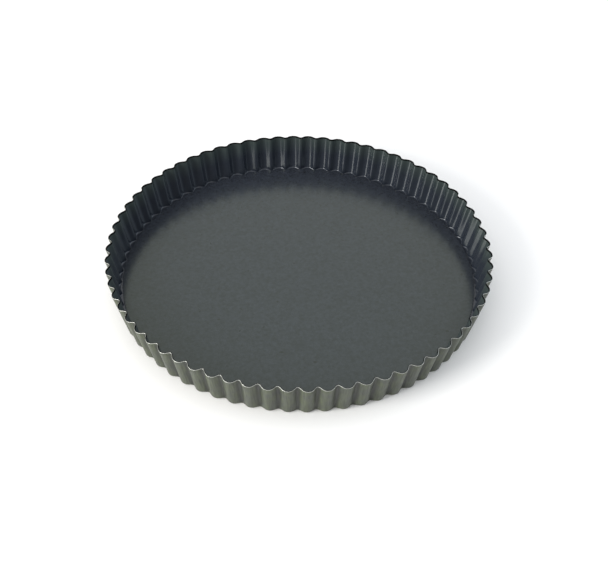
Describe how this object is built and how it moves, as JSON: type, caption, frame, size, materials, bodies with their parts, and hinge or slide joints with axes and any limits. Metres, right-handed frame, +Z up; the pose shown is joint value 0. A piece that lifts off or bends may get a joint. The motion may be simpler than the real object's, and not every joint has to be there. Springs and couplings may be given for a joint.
{
  "type": "tart pan",
  "caption": "Shallow round baking pan with a tapered fluted wall, a plain cut rim and a loose flat base that lifts out.",
  "frame": {"origin": "centre of the foot, on the surface that the pan stands on", "axes": "+Z up along the pan's axis, +X through the crest of one flute"},
  "size_m": [0.2824, 0.2824, 0.029],
  "materials": {
    "ring_coated_steel": "satin",
    "base_coated_steel": "satin"
  },
  "bodies": {
    "ring": {"fluted_ring": "ring_coated_steel"},
    "base": {"base_disc": "base_coated_steel"}
  },
  "joints": [
    {"name": "base_lift", "type": "slide", "parent": "ring", "child": "base", "axis": [0, 0, 1], "range_m": [0, 0.06]}
  ]
}
